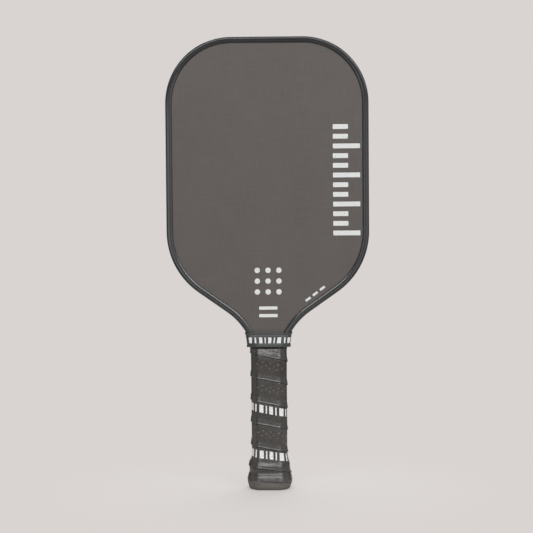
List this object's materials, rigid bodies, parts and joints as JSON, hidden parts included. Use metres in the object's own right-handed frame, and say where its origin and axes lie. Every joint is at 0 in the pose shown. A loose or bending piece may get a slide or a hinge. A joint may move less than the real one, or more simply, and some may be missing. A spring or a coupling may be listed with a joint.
{
  "type": "pickleball paddle",
  "caption": "Rounded flat-faced racket paddle with a honeycomb core, carbon faces, a U-section edge guard and a wrapped eight-sided handle with a flared butt.",
  "frame": {"origin": "centre of the flat foot of the butt cap, the lowest point of the paddle standing upright", "axes": "+Z along the handle from the butt to the tip, +X across the face to the right as the front face is seen, -Y out of the front face"},
  "size_m": [0.1872, 0.0364, 0.4191],
  "materials": {
    "core_plastic": "natural polypropylene honeycomb",
    "carbon_face": "raw peel-ply carbon laminate, matt with a fine woven grit",
    "guard_plastic": "satin black moulded strip",
    "handle_plastic": "plain moulded plastic",
    "cap_plastic": "matt dark grey moulding",
    "staple_steel": "plain wire",
    "grip_leather": "tacky synthetic leather, perforated",
    "tape_film": "thin adhesive tape",
    "collar_rubber": "satin moulded rubber"
  },
  "bodies": {
    "root": {"honeycomb_core": "core_plastic", "front_face_sheet": "carbon_face", "back_face_sheet": "carbon_face", "edge_guard": "guard_plastic", "handle_shell_front": "handle_plastic", "handle_shell_back": "handle_plastic", "butt_cap": "cap_plastic", "butt_cap_staples": "staple_steel", "grip_wrap": "grip_leather", "finishing_tape": "tape_film", "rubber_collar": "collar_rubber"}
  },
  "joints": []
}
